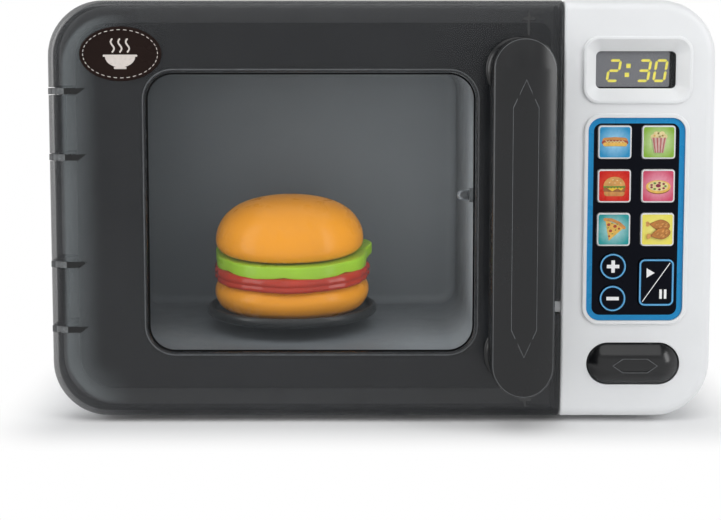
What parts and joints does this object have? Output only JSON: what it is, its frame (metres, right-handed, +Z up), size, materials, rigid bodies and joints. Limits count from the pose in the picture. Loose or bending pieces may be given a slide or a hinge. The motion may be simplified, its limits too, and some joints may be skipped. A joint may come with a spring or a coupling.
{
  "type": "toy microwave oven",
  "caption": "Toy microwave oven with a smoke-tinted hinged door, pill handle, keypad with picture keys, release button and a driven turntable carrying a play burger.",
  "frame": {"origin": "middle of the footprint, on the plane the feet stand on", "axes": "+Z up, +X to the right seen from the front along the width, -Y towards the front"},
  "size_m": [0.32, 0.18, 0.205],
  "materials": {
    "casing_white": "semi-gloss",
    "smoke_door": "gloss",
    "smoke_window": "gloss",
    "dark_plastic": "satin",
    "frame_charcoal": "matt",
    "liner_grey": "matt",
    "badge_brown": "gloss",
    "trim_blue": "gloss",
    "keypad_black": "satin",
    "key_white": "gloss",
    "display_grey": "matt",
    "clear_plastic": "clear gloss",
    "rubber_black": "matt",
    "rubber_grey": "matt",
    "steel": "brushed",
    "nickel": "plated",
    "circuit_green": "gloss",
    "gear_nylon": "matt",
    "cell_jacket": "gloss",
    "bun_orange": "satin",
    "patty_brown": "satin",
    "lettuce_green": "satin"
  },
  "bodies": {
    "casing": {"front_shell": "casing_white", "rear_shell": "casing_white", "feet": "rubber_black", "case_screws": "steel", "hinge_pins": "steel", "oven_front_frame": "frame_charcoal", "oven_liner": "liner_grey", "liner_screws": "steel", "lamp_holder": "dark_plastic", "cavity_lamp": "clear_plastic", "display_bezel": "casing_white", "display_lens": "clear_plastic", "display_module": "display_grey", "keypad_frame": "trim_blue", "keypad_plate": "keypad_black", "keypad_mat": "rubber_grey", "main_board": "circuit_green", "board_screws": "steel", "latch_cover": "casing_white", "latch_screws": "steel", "latch_spring": "steel", "release_spring": "steel", "idler_axle": "steel", "motor": "steel", "gearbox_plate": "gear_nylon", "gearbox_screws": "steel", "speaker": "dark_plastic", "battery_box": "casing_white", "battery_cells": "cell_jacket", "battery_contacts": "nickel"},
    "door": {"door_frame": "smoke_door", "door_window": "smoke_window", "door_badge": "badge_brown", "door_handle": "dark_plastic", "handle_screws": "steel"},
    "turntable": {"turntable": "dark_plastic", "drive_gear": "gear_nylon"},
    "idler": {"idler_gear": "gear_nylon"},
    "rotor": {"motor_pinion": "gear_nylon", "motor_shaft": "steel"},
    "button": {"release_button": "dark_plastic"},
    "latch": {"latch_tongue": "casing_white"},
    "battery_cover": {"battery_cover": "casing_white", "battery_cover_screw": "steel"},
    "bun_base": {"bun_base": "bun_orange"},
    "patty": {"patty": "patty_brown"},
    "lettuce": {"lettuce": "lettuce_green"},
    "bun_crown": {"bun_crown": "bun_orange"},
    "hot_dog_key": {"hot_dog_key": "key_white"},
    "popcorn_key": {"popcorn_key": "key_white"},
    "burger_key": {"burger_key": "key_white"},
    "pie_key": {"pie_key": "key_white"},
    "pizza_key": {"pizza_key": "key_white"},
    "chicken_key": {"chicken_key": "key_white"},
    "plus_key": {"plus_key": "keypad_black"},
    "minus_key": {"minus_key": "keypad_black"},
    "start_key": {"start_key": "keypad_black"}
  },
  "joints": [
    {"name": "door_hinge", "type": "hinge", "parent": "casing", "child": "door", "pos_m": [-0.156, -0.051, 0.104], "axis": [0, 0, -1], "range_deg": [0, 110]},
    {"name": "turntable_spin", "type": "hinge", "parent": "casing", "child": "turntable", "pos_m": [-0.0476, 0.0195, 0.0249], "axis": [0, 0, 1], "continuous": true},
    {"name": "idler_spin", "type": "hinge", "parent": "casing", "child": "idler", "pos_m": [-0.0236, 0.0195, 0.0249], "axis": [0, 0, 1], "continuous": true},
    {"name": "motor_spin", "type": "hinge", "parent": "casing", "child": "rotor", "pos_m": [-0.0036, 0.0195, 0.0249], "axis": [0, 0, 1], "continuous": true},
    {"name": "release_press", "type": "slide", "parent": "casing", "child": "button", "axis": [0, 1, 0], "range_m": [0, 0.004], "stiffness_N_per_m": 300, "springref_m": -0.004, "deforming": ["release_spring"]},
    {"name": "latch_slide", "type": "slide", "parent": "casing", "child": "latch", "axis": [1, 0, 0], "range_m": [0, 0.004], "deforming": ["latch_spring"]},
    {"name": "battery_cover_lift", "type": "slide", "parent": "casing", "child": "battery_cover", "axis": [0, 1, 0], "range_m": [0, 0.04]},
    {"name": "bun_base_lift", "type": "slide", "parent": "turntable", "child": "bun_base", "axis": [0, 0, 1], "range_m": [0, 0.012]},
    {"name": "patty_lift", "type": "slide", "parent": "bun_base", "child": "patty", "axis": [0, 0, 1], "range_m": [0, 0.012]},
    {"name": "lettuce_lift", "type": "slide", "parent": "patty", "child": "lettuce", "axis": [0, 0, 1], "range_m": [0, 0.012]},
    {"name": "bun_crown_lift", "type": "slide", "parent": "lettuce", "child": "bun_crown", "axis": [0, 0, 1], "range_m": [0, 0.012]},
    {"name": "hot_dog_press", "type": "slide", "parent": "casing", "child": "hot_dog_key", "axis": [0, 1, 0], "range_m": [0, 0.0008], "stiffness_N_per_m": 200, "springref_m": -0.001},
    {"name": "popcorn_press", "type": "slide", "parent": "casing", "child": "popcorn_key", "axis": [0, 1, 0], "range_m": [0, 0.0008], "stiffness_N_per_m": 200, "springref_m": -0.001},
    {"name": "burger_press", "type": "slide", "parent": "casing", "child": "burger_key", "axis": [0, 1, 0], "range_m": [0, 0.0008], "stiffness_N_per_m": 200, "springref_m": -0.001},
    {"name": "pie_press", "type": "slide", "parent": "casing", "child": "pie_key", "axis": [0, 1, 0], "range_m": [0, 0.0008], "stiffness_N_per_m": 200, "springref_m": -0.001},
    {"name": "pizza_press", "type": "slide", "parent": "casing", "child": "pizza_key", "axis": [0, 1, 0], "range_m": [0, 0.0008], "stiffness_N_per_m": 200, "springref_m": -0.001},
    {"name": "chicken_press", "type": "slide", "parent": "casing", "child": "chicken_key", "axis": [0, 1, 0], "range_m": [0, 0.0008], "stiffness_N_per_m": 200, "springref_m": -0.001},
    {"name": "plus_press", "type": "slide", "parent": "casing", "child": "plus_key", "axis": [0, 1, 0], "range_m": [0, 0.0008], "stiffness_N_per_m": 200, "springref_m": -0.001},
    {"name": "minus_press", "type": "slide", "parent": "casing", "child": "minus_key", "axis": [0, 1, 0], "range_m": [0, 0.0008], "stiffness_N_per_m": 200, "springref_m": -0.001},
    {"name": "start_press", "type": "slide", "parent": "casing", "child": "start_key", "axis": [0, 1, 0], "range_m": [0, 0.0008], "stiffness_N_per_m": 200, "springref_m": -0.001}
  ],
  "couplings": [
    {"joint": "idler_spin", "follows": "turntable_spin", "ratio": -4},
    {"joint": "motor_spin", "follows": "turntable_spin", "ratio": 16},
    {"joint": "latch_slide", "follows": "release_press", "ratio": 1}
  ]
}
